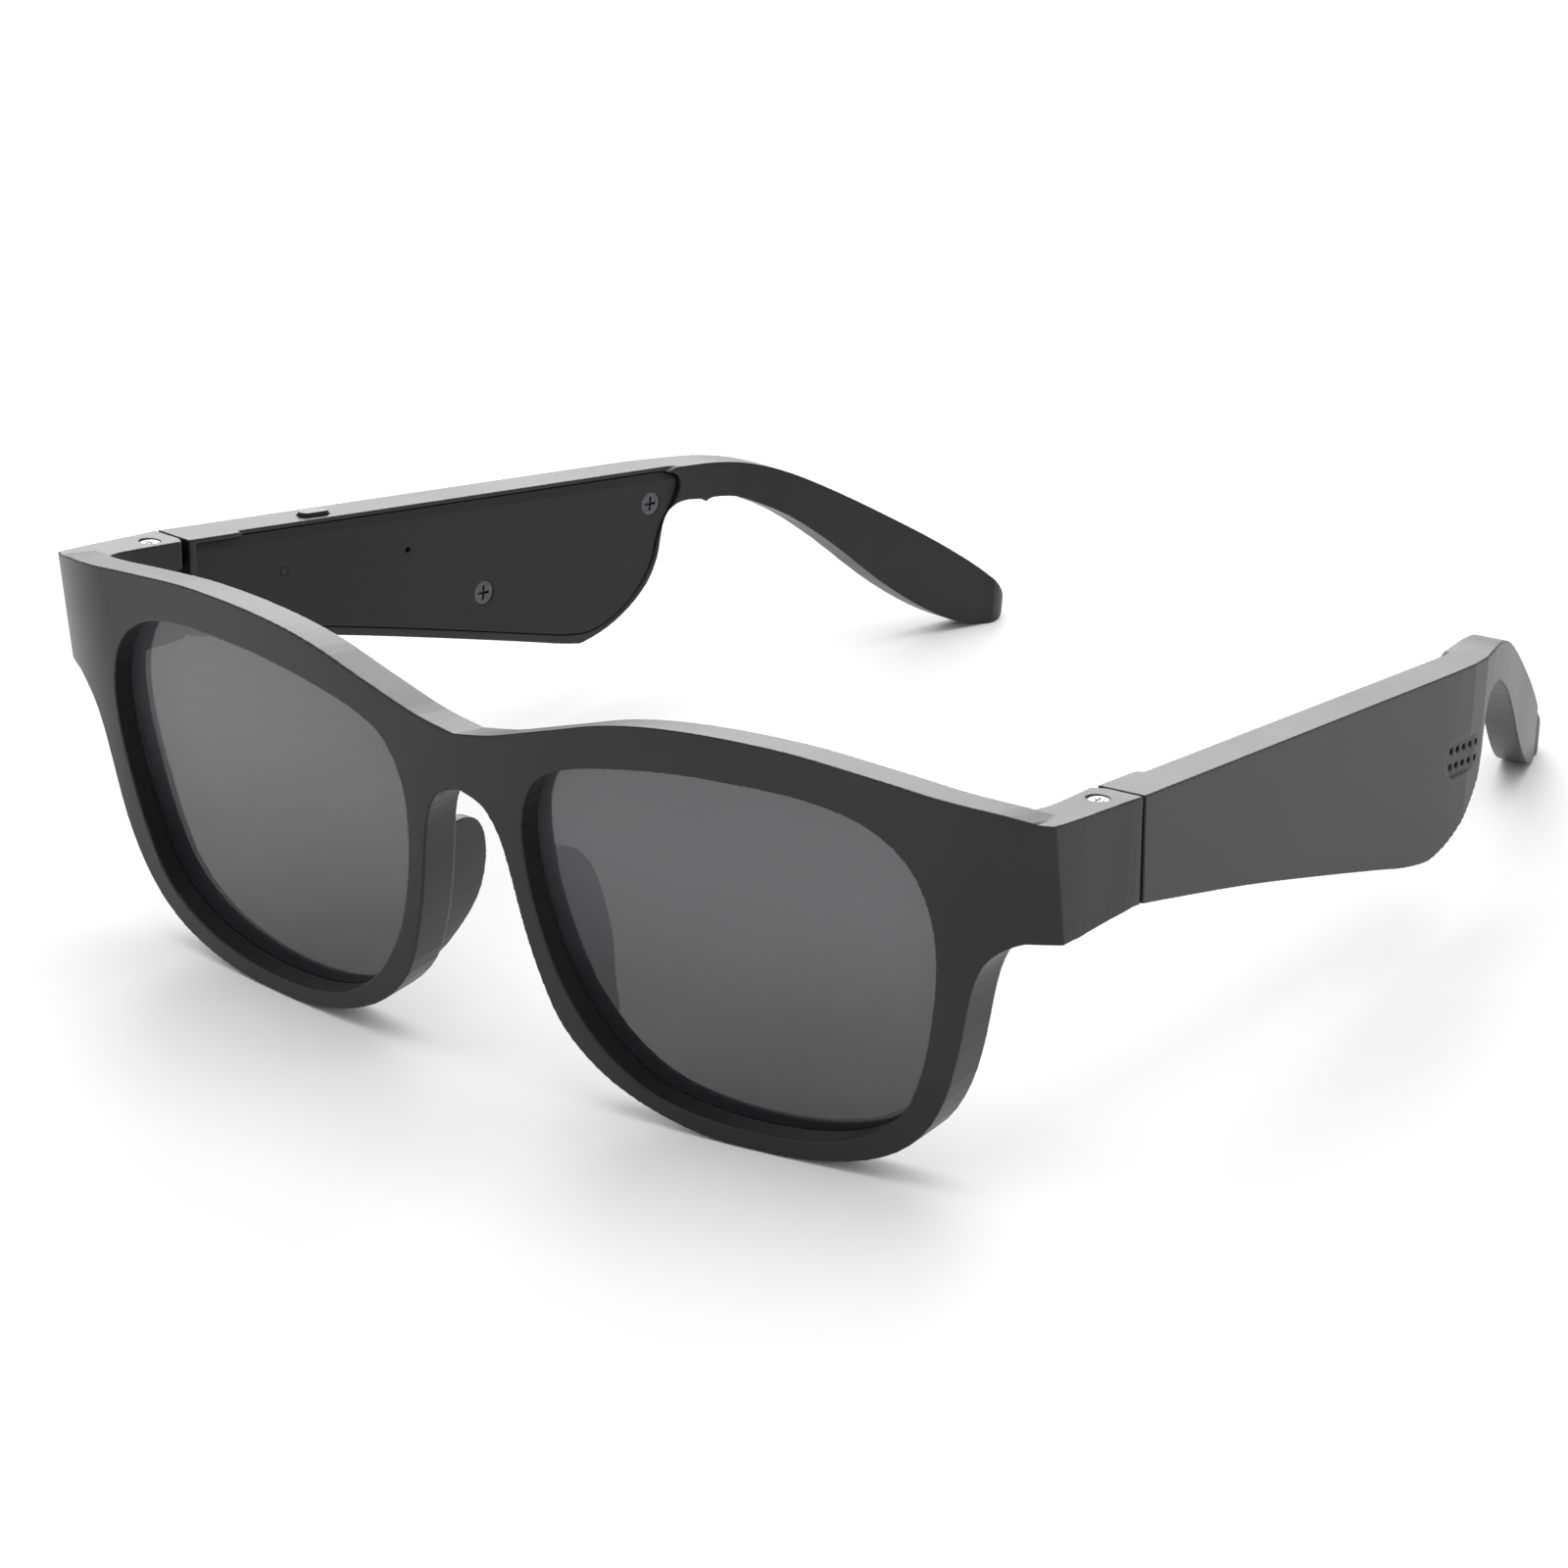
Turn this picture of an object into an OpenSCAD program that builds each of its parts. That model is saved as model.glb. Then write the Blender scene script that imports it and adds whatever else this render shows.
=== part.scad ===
// Smart glasses: a thick front with two dark lenses, and two hinged temples that
// each hold a circuit board, a battery and a speaker behind a screwed inner cover.
// X points to the wearer's left, the front looks along -Y, Z is up. The glasses rest
// on the lowest points of the two rims and on the tips of the two ear hooks.

/* [Front] */
// Width that sets the bow of the front face
front_w = 145; // [144:0.5:147]
// Depth of the rims from front face to back face
rim_t = 5; // [4.8:0.1:5.6]
// Bow of the front face: how far the middle stands ahead of the ends
bow = 13.8; // [13.4:0.1:14.2]
// How much the bow fades toward the ends
bow_fade = 6.7; // [6.4:0.1:7]
// How quickly the outer ends wrap back
wrap = 0.026; // [0.024:0.001:0.028]
// Slope of the brow's top face toward the rear
brow_slope = 15; // [13:0.5:16]
// Set-back of the lens behind the front face
lens_back = 2.6; // [2.4:0.1:2.8]
// Lens thickness
lens_t = 1.6; // [1.4:0.1:1.7]

/* [Hinges] */
// Lean of the front in its rest position
front_lean = 4.4; // [4.3:0.05:4.5]
// Tilt of the hinge screw against the front
hinge_tilt = 7; // [6.5:0.5:8]
// Drop of the temples against the front
drop = 12.9; // [12.5:0.1:13.2]
// Angle by which each temple runs inward toward the rear
converge = 5.8; // [5.4:0.1:6.2]
// Radius of the hinge screw's shank
shank_r = 0.7; // [0.6:0.05:0.75]
// Radius of the screw's head
head_r = 1.15; // [1.1:0.05:1.2]

/* [Temples] */
// Thickness of a temple at the hinge
temple_t = 5.6; // [5.5:0.1:5.8]
// Slant of the rear edge of a temple's deep part, seen from above
rear_slant = 45; // [42:1:46]
// Height of a temple at the hinge
temple_h = 11.6; // [11.5:0.1:11.8]
// Wall of the outer shell
wall = 1.3; // [1.2:0.05:1.4]
// Thickness of the inner cover
cover_t = 1.2; // [1.1:0.05:1.3]
// How far the ear hooks lean inward at their tips
hook_in = 15; // [13:0.5:16]

/* [View] */
// Which piece to draw

/* [Hidden] */
$fn = 48;

half = front_w / 2;
joint_x = half - 2.5;
joint_y = 18.9;
joint_z = -5.45;
pin_x = -3.3;
pin_y = -3.6;
ear_top = 3.2;
ear_bot = 8.5;
lip_x = 0.8 - temple_t;
cover_x = 0.4 - temple_t;
cavity_x = cover_x + cover_t;
core_w = 2.2;
rear_wall = 2.2;

// The front face seen from above, and a band behind it
function face(x) = bow * (pow(x / half, 2) - 1) - bow_fade * (pow(x / half, 4) - 1)
    + wrap * pow(max(abs(x) - 57, 0), 2);
steps = concat([for (x = [0:3.5:56]) x], [for (x = [57:0.9:75]) x], [84]);
function mirrored(x) = concat([for (i = [len(x) - 1:-1:1]) -x[i]], x);
function band(a, b) = let (x = mirrored(steps), n = len(x))
    concat([for (v = x) [v, face(v) + a]], [for (i = [n - 1:-1:0]) [x[i], face(x[i]) + b]]);

// A smooth closed curve through a ring of points
function knot(a, b, c, d, t) = 0.5 * (2 * b + (c - a) * t
    + (2 * a - 5 * b + 4 * c - d) * t * t + (3 * b - a - 3 * c + d) * t * t * t);
function ring(p, n) = let (m = len(p))
    [for (i = [0:m - 1], j = [0:n - 1])
        knot(p[(i + m - 1) % m], p[i], p[(i + 1) % m], p[(i + 2) % m], j / n)];
// A smooth open curve through a row of points
function row(p, n) = let (m = len(p))
    [for (i = [0:m - 2], j = [0:(i == m - 2 ? n : n - 1)])
        knot(p[max(i - 1, 0)], p[i], p[i + 1], p[min(i + 2, m - 1)], j / n)];
// The same ring moved outward by d
function unit(v) = v / norm(v);
function grow(p, d) = let (m = len(p))
    [for (i = [0:m - 1]) let (t = unit(p[(i + 1) % m] - p[(i + m - 1) % m]))
        p[i] + d * [-t[1], t[0]]];

opening = ring([[10.4, -7.6], [14.2, -5.2], [20, -3.8], [28, -2.8], [36, -2.6], [43.5, -2.9],
    [50.2, -4.4], [55, -7.8], [57.3, -13], [57.6, -19], [56.6, -25.5], [55, -31.5],
    [52.4, -36.9], [47.5, -40.6], [41.5, -42.4], [35, -43], [28, -42.6], [21.4, -40.9],
    [16, -37], [12, -31.4], [9.8, -25.5], [8.5, -19], [8.4, -12.6]], 3);
crown = row([[0, -4], [5, -3.1], [9.8, -1.7], [14.6, -0.3], [19.6, 1.1], [25, 2], [31, 2.4],
    [37, 2.4], [43, 2.1], [50, 1.3], [55, 0.7], [60.2, 0], [64.7, -0.9],
    [68, -2]], 3);
chin = row([[68, -15.3], [66.2, -15.5], [64.2, -16.5], [62.4, -18.4], [61, -22],
    [59.4, -28.6], [57.4, -34.4], [54.3, -39.2], [49.6, -42.6], [43, -44.6], [35.6, -45.2],
    [28, -44.8], [21, -42.9], [15.4, -40], [11, -35.6], [8.6, -30], [7.1, -24.5], [6, -18.8], [4.9, -14.6],
    [3, -11.7], [0, -10.6]], 3);

// Seat of the whole thing on its resting points
rest_y = -67.30;
rest_z = 45.41;
module rest() translate([0, rest_y, rest_z]) rotate([front_lean, 0, 0]) children();
module side(s) {
    if (s < 0) mirror([1, 0, 0]) children();
    else children();
}
// Spaces with their origin at the outer top corner of the joint. The corner space follows
// the temple's drop, the hinge space has the screw upright and turns with the temple, and
// the temple space has Y along the temple's top edge.
module joint(s, tilt) rest() side(s) translate([joint_x, joint_y, joint_z])
    rotate([-tilt, 0, 0]) children();
module hinge_space(s) joint(s, hinge_tilt) translate([pin_x, pin_y, 0])
    rotate([0, 0, converge]) translate([-pin_x, -pin_y, 0]) children();
module temple_space(s) hinge_space(s) rotate([hinge_tilt - drop, 0, 0]) children();
// Side outline (along Y and Z) pulled through a thickness in X
module slab(x0, x1) translate([x0, 0, 0]) rotate([90, 0, 90]) linear_extrude(x1 - x0) children();
module stadium(l, r) {
    translate([-l / 2 + r, 0]) circle(r);
    translate([l / 2 - r, 0]) circle(r);
    square([l - 2 * r, 2 * r], center = true);
}

// Side outline of a temple with its ear hook, and of the cover and the hollow behind it
function joint_u(z, gap) = (gap - z * sin(drop - hinge_tilt)) / cos(drop - hinge_tilt);
temple_edge = concat([[joint_u(0, 0.3), 0]], row([[80, 0], [85, 0.1], [90, -0.4], [95.5, -1.9],
    [102.2, -4.7], [109.5, -8.2], [116.9, -12], [123.4, -15.9], [127.4, -19.2],
    [128.6, -21.3], [127, -22.9], [123.6, -23.2], [120, -22.6], [114.7, -20.2],
    [108.9, -16.6], [102.2, -11.6], [95.7, -7.5], [89.3, -4.9], [86.4, -4.4], [84.2, -4.5],
    [83.2, -5.4], [82.8, -7], [82.7, -9], [82.9, -11.8], [81.5, -15.4], [78.6, -18.8], [74.2, -21], [68, -21.2],
    [62, -20.7], [55, -19.5], [40, -17], [24, -14.5], [8, -12.4],
    [joint_u(-temple_h, 0.3), -temple_h]], 3));
// The rear edge of the deep part at the outer face, with the empty space behind it
bulge_rear = concat(row([[60, -22.6], [66, -21.4], [70, -20.8], [74, -19.4], [77.6, -17.2],
    [80.4, -14.4], [81.8, -11.4], [82.2, -8.6], [82.5, -7], [83.3, -5.6], [84.8, -4.7], [86.8, -4.4]], 3),
    [[88.8, -4.5], [90.5, -5.1], [93.5, -6.4], [97, -8.4], [97, -40], [60, -40]]);
cover_edge = concat([[joint_u(-0.6, 1.4), -0.6]], row([[76.4, -0.6], [78.6, -1], [79.2, -2.4],
    [78.6, -4.4], [77.1, -6.6], [76.2, -9], [75.6, -11.8], [73.6, -15], [70.6, -17.6],
    [66.4, -19.4], [62, -19.5], [55, -18.4], [40, -15.9], [24, -13.4], [8, -11.4],
    [joint_u(-10.8, 1.4), -10.8]], 3));
hollow_edge = concat([[10, -2.2]], row([[75, -2.2], [76.6, -4], [80, -8], [80, -14],
    [74, -18.6], [66, -18.3], [60, -17.6], [40, -14.4], [24, -12.1], [10, -10.1]], 3));
// Plan outline: straight along the deep part, then leaning inward along the hook
function hook_lean(y) = hook_in * (norm([y - 79, 3]) + y - 79) / 98;
function hook_inner(y) = -hook_lean(y) + cover_x + min(max(y - 80, 0) / 9, 1);
hook_plan = concat([for (y = [-4:4:124]) [-hook_lean(y), y]],
    [for (a = [0:15:180]) [hook_inner(126) / 2 - hook_lean(126) / 2 + 2.1 * cos(a),
        125.4 + 3.4 * sin(a)]],
    [for (y = [124:-4:12]) [hook_inner(y), y]],
    [[cover_x, 8.8], [-temple_t, 7.4], [-temple_t, -4]]);
screw_spots = [[47.4, -12.3], [74.8, -4.4]];
button_y = 21.5;
button_x = -2.7;
grille = [75, -10.3];

/* ---- front ---- */
module both() {
    children();
    mirror([1, 0, 0]) children();
}
module pull_back(y0, y1) translate([0, y1, 0]) rotate([90, 0, 0]) linear_extrude(y1 - y0)
    children();
module layer(a, b) translate([0, 0, -60]) linear_extrude(80) polygon(band(a, b));
module slanted(outline) rotate([0, 0, rear_slant]) slab(-200, 200)
    polygon([for (p = outline) [p[0] * cos(rear_slant), p[1]]]);
module nose_pad() difference() {
    intersection() {
        pull_back(-4.2, 14) polygon(concat(row([[3.4, -12.4], [5, -14.8], [6.2, -18.8],
            [7.3, -24.5], [8.8, -30], [11, -34.8], [14, -38.4]], 3), row([[15.6, -37.2],
            [12, -32.8], [9.8, -27.4], [8.5, -21.6], [7.4, -16.4], [6, -13]], 3)));
        slab(0, 30) polygon(row([[-8, -18], [-1.4, -18.1], [0.4, -18.5], [2, -19.6],
            [3.2, -21.8], [3.7, -25.5], [3.1, -29.8], [0.8, -33.6], [-1.8, -36.2],
            [-8, -37.4]], 3));
    }
    intersection() {
        pull_back(-30, 30) polygon(grow(opening, 0.6));
        layer(-1, rim_t);
    }
}
// The brow's outline, so placed that its sloping pull meets the front face on the crown
function brow(p) = [p[0], p[1] * cos(brow_slope) + face(p[0]) * sin(brow_slope)];
module rims() difference() {
    intersection() {
        rotate([-brow_slope, 0, 0]) pull_back(-30, 30)
            both() polygon(concat([for (p = crown) brow(p)], [[68, -70], [0, -70]]));
        pull_back(-30, 30) both() polygon(concat([[0, 30], [68, 30]], chin));
        layer(0, rim_t);
    }
    pull_back(-30, 30) both() polygon(opening);
}
module end_piece(s) intersection() {
    joint(s, drop) intersection() {
        translate([0, 0, -30]) linear_extrude(50) polygon(concat([[-11, -24]],
            row([[-3.4, -22], [-2.2, -17.6], [-1, -16.9], [-0.35, -15.8], [-0.2, -14.4],
                [-0.15, -10], [-0.3, -5], [-0.45, 0.3], [-1.1, 6]], 3),
            row([[-7, 6], [-6.1, -0.4], [-5.5, -5], [-5.1, -9.5], [-5.6, -12.2],
                [-8, -13.6], [-11, -14.4]], 3)));
        slab(-20, 10) polygon([[-24, -0.15], [-15, -0.31], [0, 0.02], [5, 0],
            [5, -temple_h], [0, -temple_h], [-14, -13.4], [-24, -14.4]]);
    }
    rest() layer(0, 60);
}
module ear_cuts(s) hinge_space(s) {
    translate([-30, 0, -30]) cube([60, 40, 60]);
    difference() {
        translate([-15 + pin_x, pin_y, -30]) cube([15, 40, 60]);
        translate([pin_x, pin_y, -31]) cylinder(h = 62, r = 3.65);
    }
    translate([pin_x, pin_y, -ear_bot]) {
        cylinder(h = ear_bot - ear_top, r = 2.15);
        translate([-15, -2, 0]) cube([16.8, 20, ear_bot - ear_top]);
    }
    translate([pin_x, pin_y, -temple_h - 1]) cylinder(h = temple_h + 2, r = shank_r + 0.02);
    translate([pin_x, pin_y, -1]) cylinder(h = 4, r = head_r + 0.02);
}
module front_frame() color([0.05, 0.05, 0.055]) difference() {
    union() {
        rest() {
            rims();
            both() nose_pad();
        }
        for (s = [-1, 1]) end_piece(s);
    }
    rest() intersection() {
        pull_back(-30, 30) both() polygon(grow(opening, 1));
        layer(lens_back, lens_back + lens_t);
    }
    for (s = [-1, 1]) ear_cuts(s);
}
module lens(s) color([0.09, 0.09, 0.1, 0.75]) rest() side(s) intersection() {
    pull_back(-30, 30) polygon(grow(opening, 0.95));
    layer(lens_back + 0.03, lens_back + lens_t - 0.03);
}
module lens_right() lens(-1);
module lens_left() lens(1);
module hinge_screw(s) color([0.62, 0.62, 0.65]) hinge_space(s)
    translate([pin_x, pin_y, 0]) difference() {
        union() {
            translate([0, 0, -1]) cylinder(h = 1.1, r = head_r);
            translate([0, 0, 0.6 - temple_h]) cylinder(h = temple_h - 1.5, r = shank_r);
        }
        translate([-0.8, -0.12, -0.35]) cube([1.6, 0.24, 1]);
        translate([-0.12, -0.8, -0.35]) cube([0.24, 1.6, 1]);
    }
module hinge_screw_right() hinge_screw(-1);
module hinge_screw_left() hinge_screw(1);

/* ---- temples ---- */
module core_block(c) {
    translate([cavity_x + 0.05 - c, 0.2, 0.2 - ear_bot - c])
        cube([core_w + 2 * c, 8.3 + c, ear_bot - ear_top - 0.4 + 2 * c]);
}
module temple_shell(s) color([0.05, 0.05, 0.055]) difference() {
    temple_space(s) difference() {
        intersection() {
            slab(-30, 0) polygon(temple_edge);
            translate([0, 0, -40]) linear_extrude(60) polygon(hook_plan);
        }
        slanted(bulge_rear);
        slab(-12, cavity_x) polygon(grow(cover_edge, 0.05));
        slab(-12, lip_x) polygon([[7.2, 1], [8.8, -0.6], [77, -0.6], [82, 1]]);
        difference() {
            slab(-12, -wall) polygon(hollow_edge);
            for (p = screw_spots) translate([1 - wall, p[0], p[1]]) rotate([0, -90, 0])
                cylinder(h = 20, r = 1.7);
            slanted([for (p = bulge_rear) [p[0] - rear_wall, min(p[1], -5) + 1]]);
        }
        for (p = screw_spots) translate([cavity_x - 1, p[0], p[1]]) rotate([0, 90, 0])
            cylinder(h = 3.2, r = 0.62);
        translate([0, grille[0], grille[1]]) {
            slab(-0.4, 2) stadium(9.8, 2.1);
            for (i = [-2:2], j = [-1, 1]) translate([-2, i * 1.55, j * 0.92])
                rotate([0, 90, 0]) cylinder(h = 4, r = 0.36);
        }
        if (s < 0) translate([button_x, button_y, -4]) rotate([0, 0, 90])
            linear_extrude(6) stadium(4.44, 0.97);
    }
    hinge_space(s) core_block(0.02);
}
module temple_shell_right() temple_shell(-1);
module temple_shell_left() temple_shell(1);
module inner_cover(s) color([0.06, 0.06, 0.065]) temple_space(s) difference() {
    slab(cover_x, cavity_x) polygon(cover_edge);
    pull_back(-5, 90) polygon([[lip_x, 0], [lip_x, -0.6], [cover_x, -1.6], [cover_x - 2, -1.6],
        [cover_x - 2, 0]]);
    translate([cover_x - 0.01, 0, 0]) for (p = screw_spots) translate([0, p[0], p[1]])
        rotate([0, 90, 0]) {
            cylinder(h = 0.9, r1 = 1.62, r2 = 0.72);
            cylinder(h = 3, r = 0.72);
        }
    if (s < 0) {
        translate([-8, 34.6, -5.4]) rotate([0, 90, 0]) cylinder(h = 8, r = 0.35);
        translate([-8, 15.3, -5.6]) rotate([0, 90, 0]) cylinder(h = 8, r = 0.52);
    }
}
module inner_cover_right() inner_cover(-1);
module inner_cover_left() inner_cover(1);
module cover_screw(s, p) color([0.18, 0.18, 0.19]) temple_space(s)
    translate([cover_x + 0.12, p[0], p[1]]) rotate([0, 90, 0]) difference() {
        union() {
            cylinder(h = 0.75, r1 = 1.44, r2 = 0.69);
            cylinder(h = 3, r = 0.6);
        }
        translate([-0.9, -0.15, -0.5]) cube([1.8, 0.3, 0.95]);
        translate([-0.15, -0.9, -0.5]) cube([0.3, 1.8, 0.95]);
    }
module cover_screw_front_right() cover_screw(-1, screw_spots[0]);
module cover_screw_rear_right() cover_screw(-1, screw_spots[1]);
module cover_screw_front_left() cover_screw(1, screw_spots[0]);
module cover_screw_rear_left() cover_screw(1, screw_spots[1]);
module hinge_core(s) color([0.5, 0.5, 0.52]) hinge_space(s) difference() {
    union() {
        core_block(0);
        translate([pin_x, pin_y, 0.2 - ear_bot]) cylinder(h = ear_bot - ear_top - 0.4, r = 1.9);
        translate([cavity_x + 0.05, pin_y, 0.2 - ear_bot])
            cube([core_w, 4, ear_bot - ear_top - 0.4]);
    }
    translate([pin_x, pin_y, -20]) cylinder(h = 30, r = shank_r + 0.06);
}
module hinge_core_right() hinge_core(-1);
module hinge_core_left() hinge_core(1);

/* ---- electronics ---- */
module circuit_board(s) color([0.05, 0.3, 0.16]) temple_space(s)
    slab(-wall - 1, -wall - 0.2) polygon([[12, -3.3], [38, -3.3], [38, -10], [36, -11],
        [14, -9.8], [12, -8.8]]);
module circuit_board_right() circuit_board(-1);
module circuit_board_left() circuit_board(1);
module processor(s) color([0.1, 0.1, 0.1]) temple_space(s)
    translate([-wall - 1.9, 26, -9.4]) cube([0.9, 4.4, 4.4]);
module processor_right() processor(-1);
module processor_left() processor(1);
module battery(s) color([0.75, 0.75, 0.78]) temple_space(s) slab(cavity_x + 0.2, -wall - 0.2)
    polygon(ring([[50.8, -4], [64.2, -4], [64.7, -4.4], [64.7, -15.8], [64.2, -16.2],
        [50.9, -14.6], [50.5, -14.2], [50.4, -4.4]], 2));
module battery_right() battery(-1);
module battery_left() battery(1);
module speaker(s) color([0.3, 0.3, 0.32]) temple_space(s)
    translate([0, 69.6, -11.3]) slab(cavity_x + 0.1, -wall - 0.35) stadium(8.6, 3.3);
module speaker_right() speaker(-1);
module speaker_left() speaker(1);
module speaker_mesh(s) color([0.35, 0.35, 0.37]) temple_space(s)
    translate([0, 74.3, grille[1]]) slab(-wall - 0.3, -wall) stadium(7.2, 1.5);
module speaker_mesh_right() speaker_mesh(-1);
module speaker_mesh_left() speaker_mesh(1);
module wire_set(s) color([0.7, 0.45, 0.1]) temple_space(s)
    translate([-wall - 0.18, 37, -9.6]) cube([0.16, 29.4, 1.2]);
module wire_set_right() wire_set(-1);
module wire_set_left() wire_set(1);
module microphone_right() color([0.8, 0.7, 0.4]) temple_space(-1)
    translate([cavity_x, 34.6, -5.4]) rotate([0, 90, 0]) cylinder(h = 1.1, r = 1.2);
module light_pipe_right() color([0.85, 0.9, 0.95]) temple_space(-1)
    translate([cover_x, 15.3, -5.6]) rotate([0, 90, 0]) cylinder(h = 2.6, r = 0.5);
module tactile_switch_right() color([0.75, 0.7, 0.6]) temple_space(-1)
    translate([cavity_x + 0.1, button_y - 1.6, -4.9]) cube([1.5, 3.2, 1.4]);
module button_right() color([0.07, 0.07, 0.075]) temple_space(-1)
    translate([button_x, button_y, 0]) rotate([0, 0, 90]) {
        translate([0, 0, -2.5]) linear_extrude(2.95) stadium(4.2, 0.85);
        translate([0, 0, -2.9]) linear_extrude(0.55) stadium(5.2, 1.2);
    }

front_frame();
lens_right();
lens_left();
hinge_screw_right();
hinge_screw_left();
temple_shell_right();
temple_shell_left();
inner_cover_right();
inner_cover_left();
cover_screw_front_right();
cover_screw_rear_right();
cover_screw_front_left();
cover_screw_rear_left();
hinge_core_right();
hinge_core_left();
circuit_board_right();
circuit_board_left();
battery_right();
battery_left();
speaker_right();
speaker_left();
speaker_mesh_right();
speaker_mesh_left();
processor_right();
processor_left();
microphone_right();
light_pipe_right();
tactile_switch_right();
button_right();
wire_set_right();
wire_set_left();
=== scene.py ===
"""Smart glasses: looks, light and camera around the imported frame."""

import math

import bpy
from mathutils import Euler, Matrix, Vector

MM = 0.001
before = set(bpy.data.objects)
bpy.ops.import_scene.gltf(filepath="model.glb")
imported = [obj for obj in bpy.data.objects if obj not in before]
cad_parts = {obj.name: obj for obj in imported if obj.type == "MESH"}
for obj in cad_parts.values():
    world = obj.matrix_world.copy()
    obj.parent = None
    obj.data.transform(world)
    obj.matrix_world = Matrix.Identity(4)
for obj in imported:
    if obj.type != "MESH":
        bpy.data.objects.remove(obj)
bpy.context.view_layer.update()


# ---- shader helpers -------------------------------------------------------
# Grain sizes are noise scales, in cells per metre.

MOTTLE = 55
TOOL_MARKS = 2200
HAZE = 30
LENS_FOOT = 5 * MM
LENS_BROW = 45 * MM
# Lens colour at foot and brow: a grey tint, with painted shade at the foot and a painted
# reflection at the brow
LENS_FOOT_TINT_AND_SHADE = (0.02, 0.02, 0.023)
LENS_TOP_TINT_AND_REFLECTION = (0.062, 0.062, 0.068)


def new_material(name, base, rough, metallic=0.0):
    mat = bpy.data.materials.new(name)
    mat.use_nodes = True
    bsdf = mat.node_tree.nodes["Principled BSDF"]
    bsdf.inputs["Base Color"].default_value = (*base, 1)
    bsdf.inputs["Roughness"].default_value = rough
    bsdf.inputs["Metallic"].default_value = metallic
    return mat, mat.node_tree, bsdf


def noise(tree, per_metre, detail=4.0, rough=0.55, stretch=(1, 1, 1)):
    coords = tree.nodes.new("ShaderNodeTexCoord")
    mapping = tree.nodes.new("ShaderNodeMapping")
    mapping.inputs["Scale"].default_value = stretch
    texture = tree.nodes.new("ShaderNodeTexNoise")
    texture.inputs["Scale"].default_value = per_metre
    texture.inputs["Detail"].default_value = detail
    texture.inputs["Roughness"].default_value = rough
    tree.links.new(coords.outputs["Object"], mapping.inputs["Vector"])
    tree.links.new(mapping.outputs["Vector"], texture.inputs["Vector"])
    return texture


def remap(tree, socket, low, high):
    node = tree.nodes.new("ShaderNodeMapRange")
    node.inputs["To Min"].default_value = low
    node.inputs["To Max"].default_value = high
    tree.links.new(socket, node.inputs["Value"])
    return node.outputs["Result"]


def add_bump(tree, bsdf, socket, height, strength=0.5):
    node = tree.nodes.new("ShaderNodeBump")
    node.inputs["Strength"].default_value = strength
    node.inputs["Distance"].default_value = height
    tree.links.new(socket, node.inputs["Height"])
    tree.links.new(node.outputs["Normal"], bsdf.inputs["Normal"])


def tint(tree, bsdf, socket, dark, light):
    ramp = tree.nodes.new("ShaderNodeValToRGB")
    ramp.color_ramp.elements[0].color = (*dark, 1)
    ramp.color_ramp.elements[0].position = 0.3
    ramp.color_ramp.elements[1].color = (*light, 1)
    ramp.color_ramp.elements[1].position = 0.7
    tree.links.new(socket, ramp.inputs["Fac"])
    tree.links.new(ramp.outputs["Color"], bsdf.inputs["Base Color"])


def moulded(name, dark, light, rough, grain=2600, height=0.02 * MM):
    """Satin moulded plastic: a fine spark-eroded grain over a faint mottle."""
    mat, tree, bsdf = new_material(name, light, rough)
    fine = noise(tree, grain, 3, 0.6)
    broad = noise(tree, MOTTLE, 4, 0.5)
    tint(tree, bsdf, broad.outputs["Fac"], dark, light)
    tree.links.new(remap(tree, broad.outputs["Fac"], rough - 0.05, rough + 0.06),
                   bsdf.inputs["Roughness"])
    add_bump(tree, bsdf, fine.outputs["Fac"], height)
    bsdf.inputs["Specular IOR Level"].default_value = 0.33
    return mat


def metal(name, dark, light, rough, stretch=(1, 1, 12)):
    """Bare or plated metal with fine tool marks, drawn out along stretch."""
    mat, tree, bsdf = new_material(name, light, rough, metallic=1.0)
    lines = noise(tree, TOOL_MARKS, 3, 0.6, stretch)
    tint(tree, bsdf, lines.outputs["Fac"], dark, light)
    tree.links.new(remap(tree, lines.outputs["Fac"], rough - 0.06, rough + 0.1),
                   bsdf.inputs["Roughness"])
    add_bump(tree, bsdf, lines.outputs["Fac"], 0.015 * MM, 0.4)
    return mat


def tinted_lens_with_painted_reflection(name):
    """Smoke-grey lens with a faint haze; its colour is painted lighter toward the brow as a
    painted reflection and darker toward the foot as painted shade.
    """
    mat, tree, bsdf = new_material(name, LENS_TOP_TINT_AND_REFLECTION, 0.06)
    coords = tree.nodes.new("ShaderNodeTexCoord")
    split = tree.nodes.new("ShaderNodeSeparateXYZ")
    tree.links.new(coords.outputs["Object"], split.inputs["Vector"])
    height = tree.nodes.new("ShaderNodeMapRange")
    height.inputs["From Min"].default_value = LENS_FOOT
    height.inputs["From Max"].default_value = LENS_BROW
    tree.links.new(split.outputs["Z"], height.inputs["Value"])
    haze = noise(tree, HAZE, 3, 0.5)
    blend = tree.nodes.new("ShaderNodeMath")
    blend.operation = "MULTIPLY_ADD"
    blend.inputs[1].default_value = 0.15
    tree.links.new(haze.outputs["Fac"], blend.inputs[0])
    tree.links.new(height.outputs["Result"], blend.inputs[2])
    # Painted reflection and shade: the lens colour grades from darker at the foot to
    # lighter at the brow
    tint(tree, bsdf, blend.outputs["Value"], LENS_FOOT_TINT_AND_SHADE, LENS_TOP_TINT_AND_REFLECTION)
    tree.links.new(remap(tree, haze.outputs["Fac"], 0.04, 0.09), bsdf.inputs["Roughness"])
    bsdf.inputs["Alpha"].default_value = 0.78
    bsdf.inputs["Specular IOR Level"].default_value = 0.7
    return mat


# ---- finishes -------------------------------------------------------------

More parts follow.
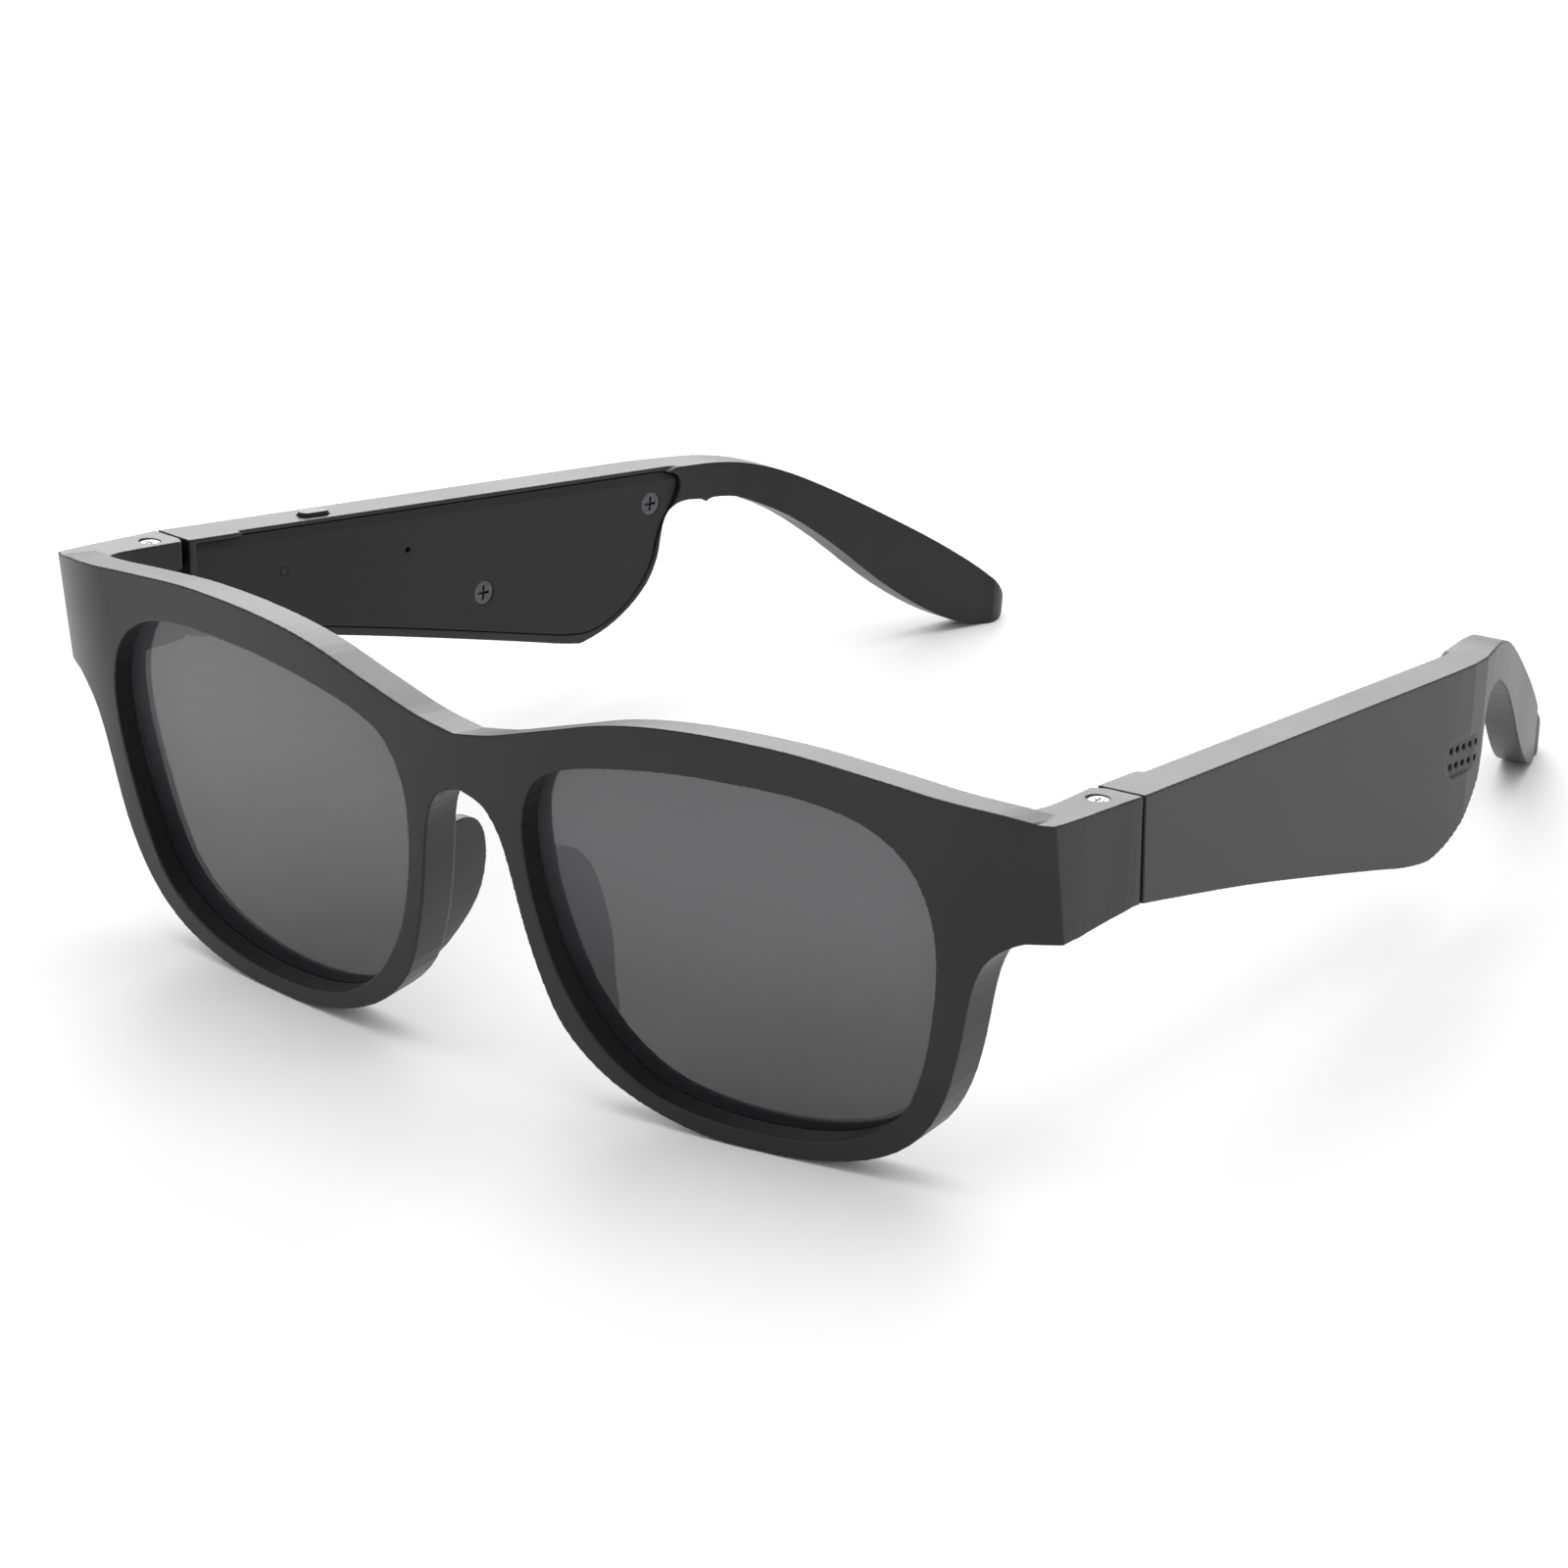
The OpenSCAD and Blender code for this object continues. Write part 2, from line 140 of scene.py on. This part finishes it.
BLACK = moulded("satin_black", (0.008, 0.008, 0.009), (0.013, 0.013, 0.0145), 0.36)
COVER = moulded("cover_black", (0.005, 0.005, 0.006), (0.008, 0.008, 0.009), 0.5, 3200)
BUTTON = moulded("button_black", (0.02, 0.02, 0.021), (0.03, 0.03, 0.032), 0.32, 3600)
LENS = tinted_lens_with_painted_reflection("grey_lens")
STEEL = metal("turned_steel", (0.42, 0.42, 0.44), (0.62, 0.62, 0.64), 0.3)
SCREW = metal("blackened_screw", (0.06, 0.06, 0.063), (0.13, 0.13, 0.135), 0.36)
BOARD = moulded("board_green", (0.01, 0.07, 0.03), (0.02, 0.12, 0.05), 0.4, 900, 0.03 * MM)
CAN = metal("battery_foil", (0.5, 0.5, 0.52), (0.7, 0.7, 0.72), 0.35, (1, 1, 1))
MESH = metal("mesh_wire", (0.12, 0.12, 0.125), (0.22, 0.22, 0.23), 0.4, (1, 1, 1))
CHIP = moulded("chip_epoxy", (0.02, 0.02, 0.02), (0.035, 0.035, 0.035), 0.6, 1800)
GOLD = metal("mic_can", (0.5, 0.4, 0.2), (0.75, 0.62, 0.35), 0.3, (1, 1, 1))
PIPE = moulded("smoked_light_pipe", (0.004, 0.004, 0.005), (0.009, 0.009, 0.01),
               0.25, 500, 0.005 * MM)
RIBBON = moulded("ribbon_film", (0.25, 0.11, 0.015), (0.36, 0.17, 0.03),
                 0.3, 700, 0.01 * MM)
BEIGE = moulded("switch_body", (0.3, 0.27, 0.2), (0.4, 0.36, 0.28), 0.5, 1500)

FINISH = {
    "front_frame": BLACK, "temple_shell": BLACK, "inner_cover": COVER, "lens": LENS,
    "hinge_screw": STEEL, "hinge_core": STEEL, "cover_screw": SCREW, "circuit_board": BOARD,
    "battery": CAN, "speaker_mesh": MESH, "speaker": CHIP, "processor": CHIP,
    "microphone": GOLD, "light_pipe": PIPE, "wire_set": RIBBON, "tactile_switch": BEIGE,
    "button": BUTTON,
}


def finish_of(node):
    """The finish of the longest name that the node's own name starts with."""
    return next(FINISH[key] for key in sorted(FINISH, key=len, reverse=True)
                if node.startswith(key))


# ---- rounding the moulded pieces ------------------------------------------

SHELL_VOXEL = 0.13 * MM
COVER_VOXEL = 0.12 * MM


def soften(obj, voxel, rounds):
    """Round every edge of a moulded piece the way its tool would."""
    remesh = obj.modifiers.new("remesh", "REMESH")
    remesh.mode = "VOXEL"
    remesh.voxel_size = voxel
    remesh.use_smooth_shade = True
    smooth = obj.modifiers.new("smooth", "SMOOTH")
    smooth.factor = 0.5
    smooth.iterations = rounds


for name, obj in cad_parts.items():
    obj.data.materials.clear()
    obj.data.materials.append(finish_of(name))
    if name.startswith(("front_frame", "temple_shell")):
        soften(obj, SHELL_VOXEL, 5)
    elif name.startswith("inner_cover"):
        soften(obj, COVER_VOXEL, 3)


# ---- stage, light and camera ----------------------------------------------

FLOOR_HALF = 3
WORLD_STRENGTH = 0.75
AIM = Vector((0, 0, 0.025))


def area_light(name, place, size, watts):
    data = bpy.data.lights.new(name, "AREA")
    data.shape = "SQUARE"
    data.size = size
    data.energy = watts
    lamp = bpy.data.objects.new(name, data)
    lamp.location = place
    lamp.rotation_euler = (AIM - Vector(place)).to_track_quat("-Z", "Y").to_euler()
    bpy.context.collection.objects.link(lamp)


floor_mesh = bpy.data.meshes.new("floor")
floor_mesh.from_pydata(
    [(-FLOOR_HALF, -FLOOR_HALF, 0), (FLOOR_HALF, -FLOOR_HALF, 0),
     (FLOOR_HALF, FLOOR_HALF, 0), (-FLOOR_HALF, FLOOR_HALF, 0)],
    [], [(0, 1, 2, 3)])
floor = bpy.data.objects.new("floor", floor_mesh)
bpy.context.collection.objects.link(floor)
floor_mat, _, _ = new_material("floor_paper", (0.9, 0.9, 0.9), 0.8)
floor_mesh.materials.append(floor_mat)

world = bpy.data.worlds.new("studio")
world.use_nodes = True
background = world.node_tree.nodes["Background"]
background.inputs["Color"].default_value = (1, 1, 1, 1)
background.inputs["Strength"].default_value = WORLD_STRENGTH
bpy.context.scene.world = world

# A broad overhead light, and a strip behind that brightens the top faces
area_light("overhead", (0, 0, 1.6), 1.8, 16)
area_light("rear_strip", (-0.75, 0.95, 0.5), 0.7, 6.5)

# From the wearer's front left, a little above, with the horizon barely tipped
CAMERA_PLACE = (0.36464, -0.46182, 0.25188)
CAMERA_DEGREES = (67.6947, 1.5712, 38.8855)
camera_data = bpy.data.cameras.new("camera")
camera_data.lens = 126
camera_data.sensor_width = 36
camera = bpy.data.objects.new("camera", camera_data)
camera.location = CAMERA_PLACE
camera.rotation_euler = Euler([math.radians(v) for v in CAMERA_DEGREES])
bpy.context.collection.objects.link(camera)
bpy.context.scene.camera = camera
bpy.context.scene.view_settings.view_transform = "Standard"
